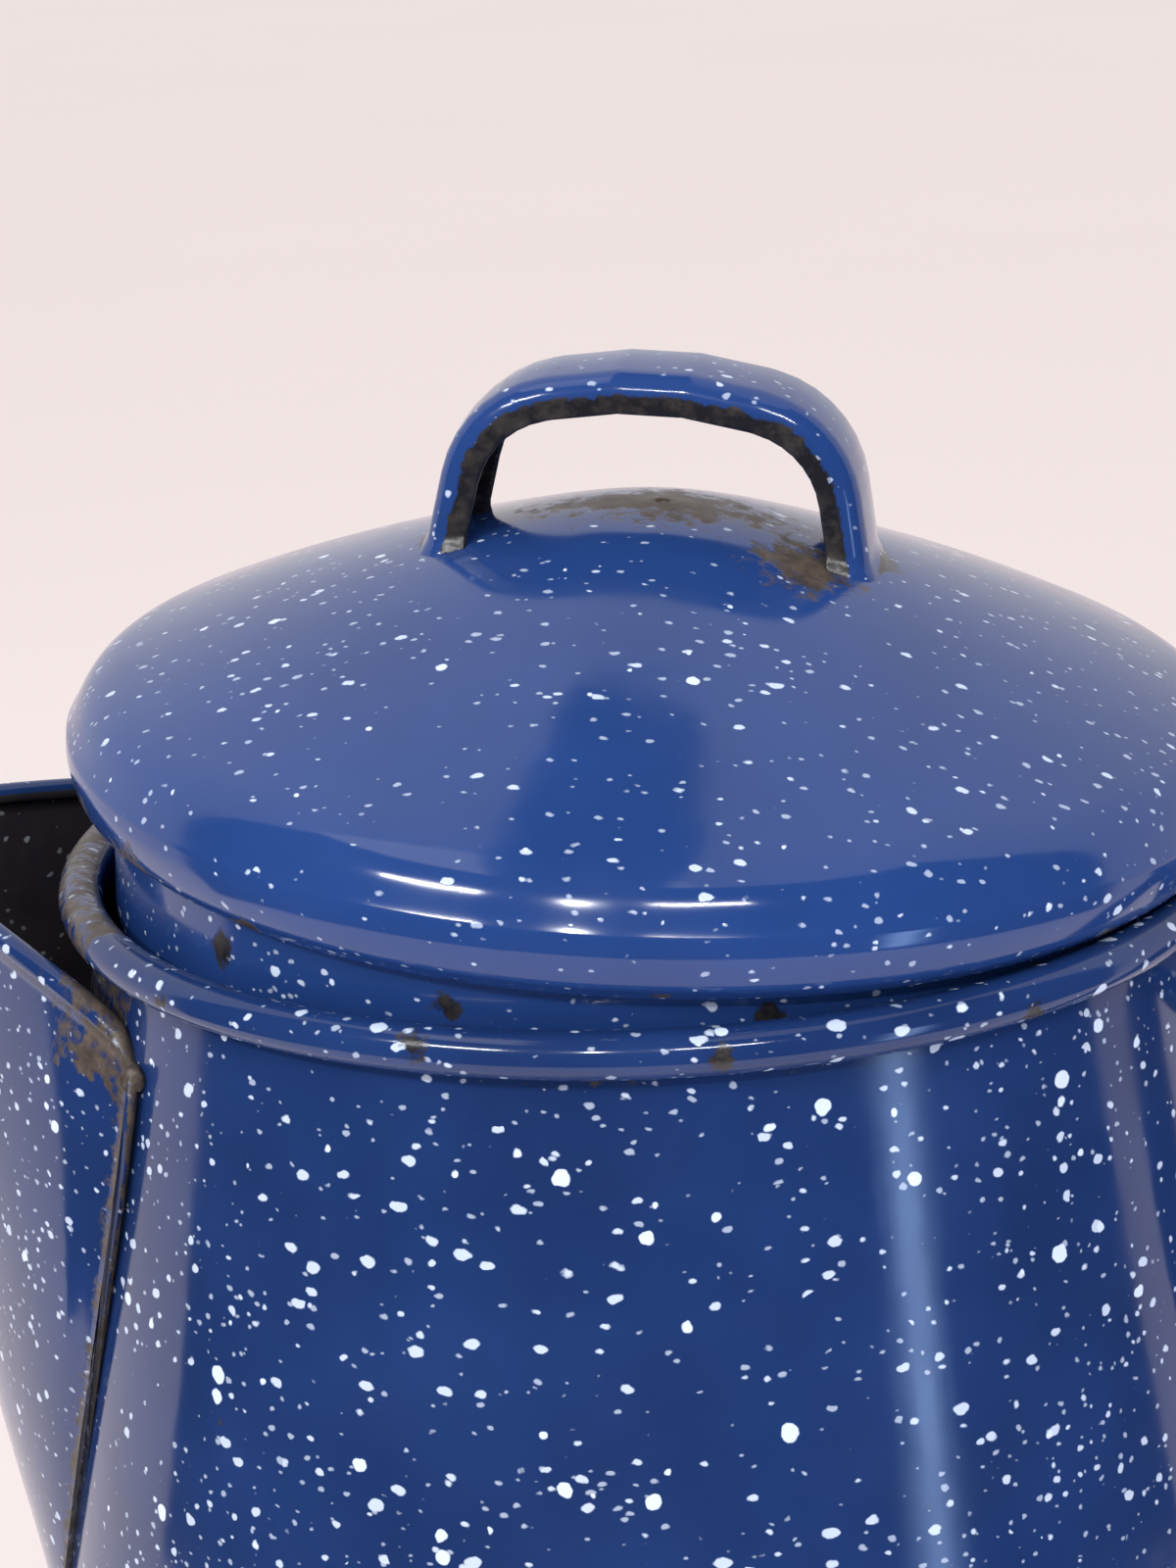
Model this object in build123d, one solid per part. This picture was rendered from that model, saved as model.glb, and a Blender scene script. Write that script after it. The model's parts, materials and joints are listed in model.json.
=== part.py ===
from build123d import *
from math import cos, degrees, pi, radians, sin, sqrt, tan
import os

# Enamelled steel coffee percolator. Millimetres, +Z up.
# Origin: on the pot's axis, on the face it stands on.
# The spout points to -X, the rear handle to +X.

# Sheet metal
SHEET = 1.2                    # enamelled steel, coats included
ALLOY = 1.0                    # bare aluminium of the coffee insert

# Pot
RIM_HEIGHT = 166.0             # centreline of the rolled rim
RIM_RADIUS = 65.4
RIM_BEAD = 2.5                 # radius of the roll
WALL_TOP_RADIUS = 63.8         # outside of the wall, at the rim's height
WALL_SLOPE = tan(radians(7.3))
SEAM_HEIGHT = 9.0              # the base pan is welded to the wall here
BASE_FLAT_RADIUS = 75.5
STRAINER_HOLE = 2.4            # radius
STRAINER_ROWS = 5
STRAINER_COLUMNS = 5
STRAINER_PITCH = 8.5
STRAINER_TOP = RIM_HEIGHT - 22

# Spout
SPOUT_TIP = 94.0               # from the pot's axis to the nose, at the lip
SPOUT_TIP_HEIGHT = RIM_HEIGHT + 3.0
SPOUT_HALF_WIDTH = 41.0        # where the lip meets the wall
SPOUT_JOIN_HEIGHT = RIM_HEIGHT - 12.5
SPOUT_FOOT_HEIGHT = RIM_HEIGHT - 111.0
SPOUT_LEAN = 0.098             # how fast the nose line closes on the axis, going down
SPOUT_SHEET = 1.1

# Lid, in its own frame: z = 0 at the lip, which hangs over the rim
LIP_RADIUS = 63.4
LID_PROFILE = [(0, 33.0), (12, 31.2), (28.6, 26.2), (44.2, 20.8), (56.7, 15.7), (63.4, 12.2), (66.5, 7.2)]
COLLAR_RADIUS = 61.4
COLLAR_DEPTH = 15.5
COLLAR_TOP = 4.0
LID_LEAN = 5.0                 # degrees; the lid sits askew, high on the spout side
LID_LEAN_DIRECTION = -23.0     # degrees from +X, the side that is low
LID_SLIP = 0.9                 # towards the low side
LIP_HEIGHT = RIM_HEIGHT + 8.1  # centre of the lip

# Handles: straps with turned-down edges
LID_HANDLE_WIDTH = 15.0
REAR_HANDLE_WIDTH = 19.0
HANDLE_DEPTH = 4.3
HANDLE_ROUND = 2.3
LID_HANDLE_CORNERS = [(-25.8, 22.0), (-21.4, 44.9), (0, 50.0), (21.4, 44.9), (25.8, 22.0)]
LID_HANDLE_RADII = [14.0, 50.0, 14.0]
LID_HANDLE_OFFSET = -0.8       # the strap sits a little towards the spout
REAR_HANDLE_CORNERS = [(60.0, 150.0), (120.0, 160.0), (121.0, 112.0), (70.0, 50.0)]
REAR_HANDLE_RADII = [20.0, 50.0]

# Coffee insert
TUBE_RADIUS = 5.0
TUBE_BOTTOM = 4.0
TUBE_TOP = 192.0
PUMP_RIM_RADIUS = 35.0
PUMP_RIM_HEIGHT = SHEET + 0.3
PUMP_CROWN_HEIGHT = 13.0
PUMP_NOTCHES = 6
STOP_RADIUS = 7.5
STOP_HEIGHT = 97.0
BASKET_BOTTOM = 101.0
BASKET_TOP = 157.0
BASKET_BOTTOM_RADIUS = 50.0
BASKET_TOP_RADIUS = 53.0
BASKET_RIM_ROLL = 1.5
SLIDE_CLEARANCE = 0.08
SLEEVE_TOP = 166.0
COVER_RADIUS = 57.0
COVER_SKIRT = 3.5
PERFORATION = 1.4              # radius
PERFORATION_PITCH = 1.6        # ring radius over number of holes
LOOSE = 0.3                    # gap between pieces that lift apart


def wall_radius(z):
    """Outside radius of the pot's wall at height z."""
    return WALL_TOP_RADIUS + (RIM_HEIGHT - z) * WALL_SLOPE


def turned(face):
    return revolve(face, axis=Axis.Z)


def ring(outer, inner, low, high):
    """A plain ring about the axis."""
    outline = Polyline((inner, low), (outer, low), (outer, high), (inner, high), close=True)
    return turned(Plane.XZ * make_face(outline))


def ring_of_holes(count, radius, hole, low, high):
    """Upright cylinders in a circle, to cut perforations."""
    holes = []
    for i in range(count):
        angle = 2 * pi * i / count
        place = Pos(radius * cos(angle), radius * sin(angle), (low + high) / 2)
        holes.append(place * Cylinder(hole, high - low))
    return holes


def cone_solid():
    """The pot's cone as a filled solid, past both ends, to trim what stands on it."""
    low, high = 0, RIM_HEIGHT + 20
    outline = Polyline((0, low), (wall_radius(low), low), (wall_radius(high), high), (0, high), close=True)
    return turned(Plane.XZ * make_face(outline))


def pot_wall():
    """A cone with a rolled rim, and strainer holes behind the spout."""
    low, high = SEAM_HEIGHT, RIM_HEIGHT
    outline = Polyline(
        (wall_radius(low), low),
        (wall_radius(high), high),
        (wall_radius(high) - SHEET, high),
        (wall_radius(low) - SHEET, low),
        close=True,
    )
    wall = turned(Plane.XZ * make_face(outline))
    bead = turned(Plane.XZ * Pos(RIM_RADIUS, RIM_HEIGHT) * Circle(RIM_BEAD))
    wall = wall + bead
    holes = []
    for row in range(STRAINER_ROWS):
        z = STRAINER_TOP - row * STRAINER_PITCH
        columns = STRAINER_COLUMNS - row % 2
        for column in range(columns):
            aside = (column - (columns - 1) / 2) * STRAINER_PITCH
            angle = 180 + degrees(aside / wall_radius(z))
            place = Rot(0, 0, angle) * Pos(wall_radius(z), 0, z) * Rot(0, 90, 0)
            holes.append(place * Cylinder(STRAINER_HOLE, 8))
    return wall - holes


def pot_base():
    """A flat-bottomed pan with a rounded corner, welded edge to edge to the wall."""
    edge = wall_radius(SEAM_HEIGHT)
    outside = Spline(
        (BASE_FLAT_RADIUS, 0),
        (edge - 1.6, 3.0),
        (edge, SEAM_HEIGHT),
        tangents=((1, 0), (-WALL_SLOPE, 1)),
    )
    inside = Spline(
        (edge - SHEET, SEAM_HEIGHT),
        (edge - 2.9, 3.9),
        (BASE_FLAT_RADIUS, SHEET),
        tangents=((WALL_SLOPE, -1), (-1, 0)),
    )
    outline = Wire([
        Line((0, 0), (BASE_FLAT_RADIUS, 0)),
        outside,
        Line(outside @ 1, inside @ 0),
        inside,
        Line(inside @ 1, (0, SHEET)),
        Line((0, SHEET), (0, 0)),
    ])
    return turned(Plane.XZ * make_face(outline))


def nose_radius(z):
    """Distance of the spout's front ridge from the axis: nearly straight, tucked in at the foot."""
    down = SPOUT_TIP_HEIGHT - z
    tuck = max(0.0, down - 62)
    return SPOUT_TIP - SPOUT_LEAN * down - 0.0032 * tuck**2


def spout_half_width(z):
    """Half the spout's width at the wall: full at the lip, rounding off to nothing at the foot."""
    share = (SPOUT_JOIN_HEIGHT - z) / (SPOUT_JOIN_HEIGHT - SPOUT_FOOT_HEIGHT)
    if share <= 0:
        return SPOUT_HALF_WIDTH
    return SPOUT_HALF_WIDTH * sqrt(max(0.02, 1 - share**1.5))


def spout_edge_point(s, z, inset=0.0):
    """A point of the spout's outline at height z: s runs from 0 at the wall to 1 at the nose."""
    width = spout_half_width(z)
    start = sqrt(wall_radius(z)**2 - width**2)
    reach = nose_radius(z) - start - inset
    return start + s * reach, (width - inset) * (1 - s**1.37)


def spout_section(z, inset=0.0):
    """A closed outline of the spout at height z, reaching into the pot."""
    flank = [spout_edge_point(s, z, inset) for s in (0, 0.35, 0.7, 1)]
    front = [(-x, y) for x, y in flank] + [(-x, -y) for x, y in reversed(flank[:-1])]
    inner_x = 30.0
    curve = Spline(*front)
    wire = Wire([
        curve,
        Line(front[-1], (-inner_x, front[-1][1])),
        Line((-inner_x, front[-1][1]), (-inner_x, front[0][1])),
        Line((-inner_x, front[0][1]), front[0]),
    ])
    return Pos(0, 0, z) * make_face(wire)


def spout_body(inset=0.0):
    heights = [RIM_HEIGHT + 14, RIM_HEIGHT - 30, RIM_HEIGHT - 65, RIM_HEIGHT - 92, RIM_HEIGHT - 111]
    return loft([spout_section(z, inset) for z in heights])


def spout_lip():
    """The lip in side view: it rises from the wall to the nose."""
    points = []
    for i in range(9):
        s = (i / 8) ** 1.6
        z = SPOUT_JOIN_HEIGHT + (SPOUT_TIP_HEIGHT - SPOUT_JOIN_HEIGHT) * sqrt(s)
        points.append((-spout_edge_point(s, z)[0], z))
    return points


def spout():
    """A V-shaped trough on the wall, open at the top."""
    shell = spout_body() - spout_body(SPOUT_SHEET) - cone_solid()
    lip = spout_lip()
    back, front, top = -20, -130, RIM_HEIGHT + 60
    above = Wire([
        Line((back, lip[0][1]), lip[0]),
        Spline(*lip),
        Line(lip[-1], (front, lip[-1][1])),
        Line((front, lip[-1][1]), (front, top)),
        Line((front, top), (back, top)),
        Line((back, top), (back, lip[0][1])),
    ])
    return shell - extrude(Plane.XZ * make_face(above), amount=2 * SPOUT_HALF_WIDTH, both=True)


def parallel(curve, distance, count=16):
    """A curve at a constant distance to the right of a plane curve."""
    points = []
    for i in range(count + 1):
        along = curve % (i / count)
        points.append(curve @ (i / count) + Vector(along.Y, -along.X) * distance)
    return Spline(*points)


def strap(corners, radii, width):
    """A strap bent through the corners, with both edges turned down. It lies in the XZ plane."""
    path = Plane.XZ * FilletPolyline(*corners, radius=radii)
    across = Plane(origin=path @ 0, x_dir=(0, -1, 0), z_dir=path % 0)
    outside = Pos(0, HANDLE_DEPTH / 2) * Rectangle(width, HANDLE_DEPTH)
    outside = fillet(outside.vertices().group_by(Axis.Y)[0], HANDLE_ROUND)
    inside = Pos(0, SHEET + HANDLE_DEPTH / 2) * Rectangle(width - 2 * SHEET, HANDLE_DEPTH)
    inside = fillet(inside.vertices().group_by(Axis.Y)[0], HANDLE_ROUND - SHEET)
    return sweep(across * (outside - inside), path=path)


def lid_outline():
    """The lid's outside, from the crown to the widest point and round under to the lip."""
    crown = Spline(*LID_PROFILE, tangents=((1, 0), (0, -1)))
    tuck = Spline(LID_PROFILE[-1], (65.6, 2.0), (LIP_RADIUS, 0), tangents=((0, -1), (-1, -0.05)))
    return crown, tuck


def lid_solid():
    """The lid as a filled solid, to trim what stands on it."""
    crown, tuck = lid_outline()
    outline = Wire([crown, tuck, Line((LIP_RADIUS, 0), (0, 0)), Line((0, 0), LID_PROFILE[0])])
    return turned(Plane.XZ * make_face(outline))


def lid_dome():
    """A domed sheet turned under to a flat lip that holds the collar."""
    crown, tuck = lid_outline()
    inner_tuck = parallel(tuck, SHEET)
    inner_crown = parallel(crown, SHEET)
    shelf_height = (inner_tuck @ 1).Y
    outline = Wire([
        crown,
        tuck,
        Line(tuck @ 1, (COLLAR_RADIUS, 0)),
        Line((COLLAR_RADIUS, 0), (COLLAR_RADIUS, shelf_height)),
        Line((COLLAR_RADIUS, shelf_height), inner_tuck @ 1),
        inner_tuck,
        inner_crown,
        Line(inner_crown @ 0, crown @ 0),
    ])
    return turned(Plane.XZ * make_face(outline))


def lid_collar():
    """The ring under the lid that drops into the pot's mouth, its lower edge turned slightly in."""
    outer, inner = COLLAR_RADIUS, COLLAR_RADIUS - SHEET
    outline = Polyline(
        (outer, COLLAR_TOP),
        (outer, 2.5 - COLLAR_DEPTH),
        (outer - 0.8, -COLLAR_DEPTH),
        (inner - 0.8, -COLLAR_DEPTH),
        (inner, 2.5 - COLLAR_DEPTH),
        (inner, COLLAR_TOP),
        close=True,
    )
    return turned(Plane.XZ * make_face(outline))


def lid_handle():
    handle = strap(LID_HANDLE_CORNERS, LID_HANDLE_RADII, LID_HANDLE_WIDTH)
    return Pos(LID_HANDLE_OFFSET, 0, 0) * handle - lid_solid()


def rear_handle():
    return strap(REAR_HANDLE_CORNERS, REAR_HANDLE_RADII, REAR_HANDLE_WIDTH) - cone_solid()


def seated(shape):
    """Moves a lid piece from the lid's frame to its place, askew in the mouth."""
    direction = radians(LID_LEAN_DIRECTION)
    lean_axis = Axis((0, 0, 0), (-sin(direction), cos(direction), 0))
    place = Pos(LID_SLIP * cos(direction), LID_SLIP * sin(direction), LIP_HEIGHT)
    return place * shape.rotate(lean_axis, LID_LEAN)


def pump_base():
    """A shallow bell that stands on the pot's floor and traps steam, notched to let water in."""
    low, crown, rim = PUMP_RIM_HEIGHT, PUMP_CROWN_HEIGHT, PUMP_RIM_RADIUS
    outline = Polyline(
        (TUBE_RADIUS, crown + 4),
        (TUBE_RADIUS, crown - 3),
        (TUBE_RADIUS + 2, crown - 3),
        (TUBE_RADIUS + 4, crown - ALLOY),
        (rim - 5, low + 5),
        (rim - ALLOY, low),
        (rim, low),
        (rim - 4, low + 5 + ALLOY),
        (TUBE_RADIUS + 4.5, crown),
        (TUBE_RADIUS + ALLOY, crown + 1),
        (TUBE_RADIUS + ALLOY, crown + 4),
        close=True,
    )
    bell = turned(Plane.XZ * make_face(outline))
    notches = []
    for i in range(PUMP_NOTCHES):
        notches.append(Rot(0, 0, 360 * i / PUMP_NOTCHES) * Pos(rim, 0, low) * Box(12, 7, 5))
    return bell - notches


def pump_tube():
    return ring(TUBE_RADIUS, TUBE_RADIUS - ALLOY * 0.9, TUBE_BOTTOM, TUBE_TOP)


def basket_stop():
    """The collar swaged on the tube that the basket rests on."""
    collar = ring(STOP_RADIUS, TUBE_RADIUS, STOP_HEIGHT, STOP_HEIGHT + 3)
    return fillet(collar.edges().filter_by(GeomType.CIRCLE), 0.6)


def sleeve_radius():
    return TUBE_RADIUS + SLIDE_CLEARANCE + 0.8


def basket_sleeve():
    """The tube in the middle of the basket that slides on the pump tube."""
    return ring(sleeve_radius(), TUBE_RADIUS + SLIDE_CLEARANCE, STOP_HEIGHT + 3 + LOOSE, SLEEVE_TOP)


def basket_cup():
    """A tapered cup with a rolled rim, its floor and lower side perforated."""
    low, high = BASKET_BOTTOM, BASKET_TOP
    outline = Polyline(
        (sleeve_radius(), low),
        (BASKET_BOTTOM_RADIUS - 2, low),
        (BASKET_BOTTOM_RADIUS, low + 2),
        (BASKET_TOP_RADIUS, high),
        (BASKET_TOP_RADIUS - ALLOY, high),
        (BASKET_BOTTOM_RADIUS - ALLOY, low + 2 + ALLOY / 2),
        (BASKET_BOTTOM_RADIUS - 2 - ALLOY / 2, low + ALLOY),
        (sleeve_radius(), low + ALLOY),
        close=True,
    )
    cup = turned(Plane.XZ * make_face(outline))
    cup = cup + turned(Plane.XZ * Pos(BASKET_TOP_RADIUS + 0.5, high) * Circle(BASKET_RIM_ROLL))
    holes = []
    for k in range(5):
        radius = 13 + 7.5 * k
        holes += ring_of_holes(round(radius / PERFORATION_PITCH), radius, PERFORATION, low - 1, low + 3)
    return cup - holes


def basket_cover():
    """The spreader: a perforated disc with a skirt round the basket's rim."""
    low = BASKET_TOP + BASKET_RIM_ROLL + LOOSE
    disc = ring(COVER_RADIUS, sleeve_radius() + LOOSE + ALLOY, low, low + ALLOY)
    skirt = ring(COVER_RADIUS, COVER_RADIUS - ALLOY, low - COVER_SKIRT, low)
    holes = []
    for k in range(5):
        radius = 14 + 7.5 * k
        holes += ring_of_holes(round(radius / PERFORATION_PITCH), radius, PERFORATION, low - 1, low + 2)
    return disc + skirt - holes


def cover_hub():
    """The flanged grommet in the spreader's centre, round the basket's sleeve."""
    low = BASKET_TOP + BASKET_RIM_ROLL + LOOSE
    bore = sleeve_radius() + LOOSE
    outline = Polyline(
        (bore, low - 2),
        (bore + ALLOY, low - 2),
        (bore + ALLOY, low + ALLOY),
        (bore + ALLOY + 2.5, low + ALLOY),
        (bore + ALLOY + 2.5, low + 2 * ALLOY),
        (bore, low + 2 * ALLOY),
        close=True,
    )
    return turned(Plane.XZ * make_face(outline))


PIECES = {
    "pot_wall": pot_wall,
    "pot_base": pot_base,
    "spout": spout,
    "rear_handle": rear_handle,
    "lid_dome": lambda: seated(lid_dome()),
    "lid_collar": lambda: seated(lid_collar()),
    "lid_handle": lambda: seated(lid_handle()),
    "pump_base": pump_base,
    "pump_tube": pump_tube,
    "basket_stop": basket_stop,
    "basket_sleeve": basket_sleeve,
    "basket_cup": basket_cup,
    "basket_cover": basket_cover,
    "cover_hub": cover_hub,
}

os.makedirs("parts", exist_ok=True)
for name, make in PIECES.items():
    export_step(make(), f"parts/{name}.step")
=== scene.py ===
import json
from math import ceil, cos, hypot, pi, radians, sin, sqrt, tan

import bpy
from mathutils import Matrix, Vector, noise


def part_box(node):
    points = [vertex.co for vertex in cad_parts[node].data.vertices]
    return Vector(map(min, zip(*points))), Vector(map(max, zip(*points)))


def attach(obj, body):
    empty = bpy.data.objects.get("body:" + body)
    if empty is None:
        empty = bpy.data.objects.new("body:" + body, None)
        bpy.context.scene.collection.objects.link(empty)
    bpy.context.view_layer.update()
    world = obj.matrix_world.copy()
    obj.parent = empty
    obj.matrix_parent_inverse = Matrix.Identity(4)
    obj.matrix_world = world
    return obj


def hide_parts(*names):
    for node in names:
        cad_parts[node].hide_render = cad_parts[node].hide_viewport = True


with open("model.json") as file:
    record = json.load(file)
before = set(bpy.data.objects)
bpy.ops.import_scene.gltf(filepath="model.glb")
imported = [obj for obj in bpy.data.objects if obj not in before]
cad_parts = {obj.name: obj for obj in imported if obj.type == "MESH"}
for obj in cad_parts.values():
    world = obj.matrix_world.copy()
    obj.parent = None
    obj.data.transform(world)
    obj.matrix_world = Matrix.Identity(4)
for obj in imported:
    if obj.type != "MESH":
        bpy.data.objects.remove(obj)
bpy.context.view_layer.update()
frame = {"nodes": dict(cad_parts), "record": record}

MM = 0.001                     # shapes are worked out in millimetres, lights and camera in metres

# The design's own sizes, as in the CAD
SHEET = 1.2
RIM_BEAD = 2.5
RIM_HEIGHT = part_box("pot_wall")[1].z / MM - RIM_BEAD
RIM_RADIUS = 65.4
SEAM_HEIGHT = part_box("pot_wall")[0].z / MM
WALL_TOP_RADIUS = 63.8
WALL_SLOPE = tan(radians(7.3))
BASE_FLAT_RADIUS = 75.5
STRAINER_HOLE = 2.4            # radius
STRAINER_ROWS = 5
STRAINER_COLUMNS = 5
STRAINER_PITCH = 8.5
STRAINER_TOP = RIM_HEIGHT - 22

SPOUT_TIP = -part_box("spout")[0].x / MM
SPOUT_TIP_HEIGHT = RIM_HEIGHT + 3.0
SPOUT_HALF_WIDTH = 41.0
SPOUT_JOIN_HEIGHT = RIM_HEIGHT - 12.5
SPOUT_FOOT_HEIGHT = RIM_HEIGHT - 111.0
SPOUT_LEAN = 0.098
SPOUT_TUCK_START = 62.0        # the nose tucks in from here down
SPOUT_TUCK = 0.0032
SPOUT_HEM = 1.35               # radius of the rolled lip
SPOUT_SHEET = 1.1

LIP_RADIUS = 63.4
COLLAR_RADIUS = 61.4
COLLAR_DEPTH = 15.5
COLLAR_TOP = 4.0
LID_PROFILE = [(0, 33.0), (12, 31.2), (28.6, 26.2), (44.2, 20.8), (56.7, 15.7), (63.4, 12.2), (66.5, 7.2)]
LIP_EDGE = 64.3
LID_TUCK = [(66.5, 7.2), (66.5, 5.0), (65.6, 2.0), (LIP_EDGE, 0.5)]
LID_LEAN = radians(5.0)
LID_LEAN_DIRECTION = radians(-23.0)
LID_SLIP = 0.9
LIP_HEIGHT = RIM_HEIGHT + 8.1

# Straps with turned-down edges: paths are corners (x, z, radius of the bend)
HANDLE_DEPTH = 4.3
HANDLE_ROUND = 2.3
HANDLE_CROWN = 0.45
LID_HANDLE_WIDTH = 15.0
LID_HANDLE_OFFSET = -0.8
LID_HANDLE_PATH = [
    (-25.8, 22.0, 0),
    (-21.4, 44.9, 14.0),
    (0, 50.0, 50.0),
    (21.4, 44.9, 14.0),
    (25.8, 22.0, 0),
]
REAR_HANDLE_WIDTH = 19.0
REAR_HANDLE_PATH = [(60.0, 150.0, 0), (120.0, 160.0, 20.0), (121.0, 112.0, 50.0), (70.0, 50.0, 0)]

# What only the visual model has
DENT_SIZE = 0.12               # how far the sheet is out of round
DENT_REACH = 34.0
SEAM_GROOVE = 0.25
WELD_SINK = 0.6                # how deep welded ends sink into the sheet below them


# ---- outlines ----

def rounded(corners, closed=False, step=0.7):
    """A plane outline through corners (x, y, radius), each corner an arc, long stretches divided."""
    count = len(corners)
    points = []
    for i, (x, y, radius) in enumerate(corners):
        here = Vector((x, y))
        if radius == 0 or (not closed and i in (0, count - 1)):
            points.append(here)
            continue
        before = (Vector(corners[i - 1][:2]) - here).normalized()
        after = (Vector(corners[(i + 1) % count][:2]) - here).normalized()
        half = before.angle(after) / 2
        centre = here + (before + after).normalized() * (radius / sin(half))
        start = here + before * (radius / tan(half)) - centre
        end = here + after * (radius / tan(half)) - centre
        turn = start.angle_signed(end)
        pieces = max(3, ceil(abs(turn) / radians(10)))
        for k in range(pieces + 1):
            points.append(centre + Matrix.Rotation(-turn * k / pieces, 2) @ start)
    return divided(points, closed, step)


def divided(points, closed, step):
    """The same outline with no stretch longer than step."""
    ends = points[1:] + points[:1] if closed else points[1:]
    result = []
    for a, b in zip(points, ends):
        pieces = max(1, ceil((b - a).length / step))
        result += [a.lerp(b, k / pieces) for k in range(pieces)]
    return result if closed else result + [points[-1]]


def curved(points, pieces=14):
    """A smooth line through points, which starts and ends along its first and last stretch."""
    points = [Vector(p) for p in points]
    ends = [points[0] * 2 - points[1], *points, points[-1] * 2 - points[-2]]
    result = []
    for a, b, c, d in zip(ends, ends[1:], ends[2:], ends[3:]):
        for k in range(pieces):
            t = k / pieces
            bend = a - b * 2.5 + c * 2 - d / 2
            twist = b * 1.5 - c * 1.5 + (d - a) / 2
            result.append(b + (c - a) * (t / 2) + bend * t**2 + twist * t**3)
    return result + [points[-1]]


def nearest(outline, x, y):
    """Index of an outline's point that is nearest to (x, y)."""
    return min(range(len(outline)), key=lambda i: (outline[i] - Vector((x, y))).length)


def offset(line, distance):
    """A line parallel to another, on its right."""
    result = []
    for i, point in enumerate(line):
        along = line[min(i + 1, len(line) - 1)] - line[max(i - 1, 0)]
        along.normalize()
        result.append(point + Vector((along.y, -along.x)) * distance)
    return result


# ---- meshes ----

def mesh_object(name, points, faces, slots=None):
    """A smooth mesh from points in millimetres; slots gives each face's material index."""
    mesh = bpy.data.meshes.new(name)
    mesh.from_pydata([Vector(p) * MM for p in points], [], faces)
    mesh.update()
    mesh.polygons.foreach_set("use_smooth", [True] * len(mesh.polygons))
    if slots:
        mesh.polygons.foreach_set("material_index", slots)
    piece = bpy.data.objects.new(name, mesh)
    bpy.context.scene.collection.objects.link(piece)
    return piece


def loops(name, rings, closed=True, capped=False, slot_of=None):
    """Joins closed rings of points; the last ring joins the first, or both are capped."""
    count, size = len(rings), len(rings[0])
    points = [p for ring in rings for p in ring]
    faces, slots = [], []
    for i in range(count if closed else count - 1):
        a, b = i * size, (i + 1) % count * size
        for k in range(size):
            n = (k + 1) % size
            faces.append((a + k, a + n, b + n, b + k))
            slots.append(slot_of(k) if slot_of else 0)
    if capped:
        faces += [tuple(range(size))[::-1], tuple(range((count - 1) * size, count * size))]
        slots += [0, 0]
    return mesh_object(name, points, faces, slots)


def dent(point, size):
    """A small, slow unevenness, none at the axis: rolled sheet is never quite round."""
    return noise.noise(Vector(point) / DENT_REACH) * size * min(1, hypot(point[0], point[1]) / 20)


def lathe(name, outline, steps=300, unevenness=DENT_SIZE, slot_of=None):
    """Turns a closed outline of (radius, height) about the axis."""
    rings = []
    for i in range(steps):
        angle = 2 * pi * i / steps
        ring = []
        for radius, z in outline:
            r = radius + dent((radius * cos(angle), radius * sin(angle), z), unevenness)
            ring.append((r * cos(angle), r * sin(angle), z))
        rings.append(ring)
    return loops(name, rings, slot_of=slot_of)


def sweep_strap(name, path, width, settle):
    """A strap along a path in the XZ plane; settle(point, core) fits its ends to what it is welded to."""
    half, inner, deep = width / 2, width / 2 - SHEET, HANDLE_DEPTH
    section = rounded([
        (-half, deep, 0.5), (-half, 0, HANDLE_ROUND), (half, 0, HANDLE_ROUND), (half, deep, 0.5),
        (inner, deep, 0.5), (inner, SHEET, 1.1), (-inner, SHEET, 1.1), (-inner, deep, 0.5),
    ], closed=True, step=0.8)
    line = rounded(path, step=0.8)
    rings = []
    for i, p in enumerate(line):
        along = (line[min(i + 1, len(line) - 1)] - line[max(i - 1, 0)]).normalized()
        inward = Vector((along.y, -along.x))
        ring = []
        for across, depth in section:
            crown = HANDLE_CROWN * cos(pi * across / width) if depth < deep / 2 else 0
            skin = p + inward * (depth - crown)
            core = Vector((p.x + inward.x * deep / 2, 0, p.y + inward.y * deep / 2))
            ring.append(settle(Vector((skin.x, across, skin.y)), core))
        rings.append(ring)
    return loops(name, rings, closed=False, capped=True)


def weld_flare(gap, size=1.1, reach=1.6):
    """How far an enamelled weld spreads sideways, at a height gap above the sheet it stands on."""
    return size * max(0.0, 1 - gap / reach)**2


def paint(piece, name, amount):
    """Stores amount(point in millimetres) at each vertex, for the materials."""
    layer = piece.data.attributes.new(name, "FLOAT", "POINT")
    layer.data.foreach_set("value", [amount(v.co / MM) for v in piece.data.vertices])


# ---- the pot ----

def wall_radius(z):
    """Outside radius of the pot's wall at height z."""
    return WALL_TOP_RADIUS + (RIM_HEIGHT - z) * WALL_SLOPE


def rim_bead():
    """The rolled rim in section, from where it leaves the wall outside to where it meets it inside."""
    bead = []
    for k in range(33):
        angle = radians(-128 + 318 * k / 32)
        bead.append(Vector((RIM_RADIUS + RIM_BEAD * cos(angle), RIM_HEIGHT + RIM_BEAD * sin(angle))))
    return bead


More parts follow.
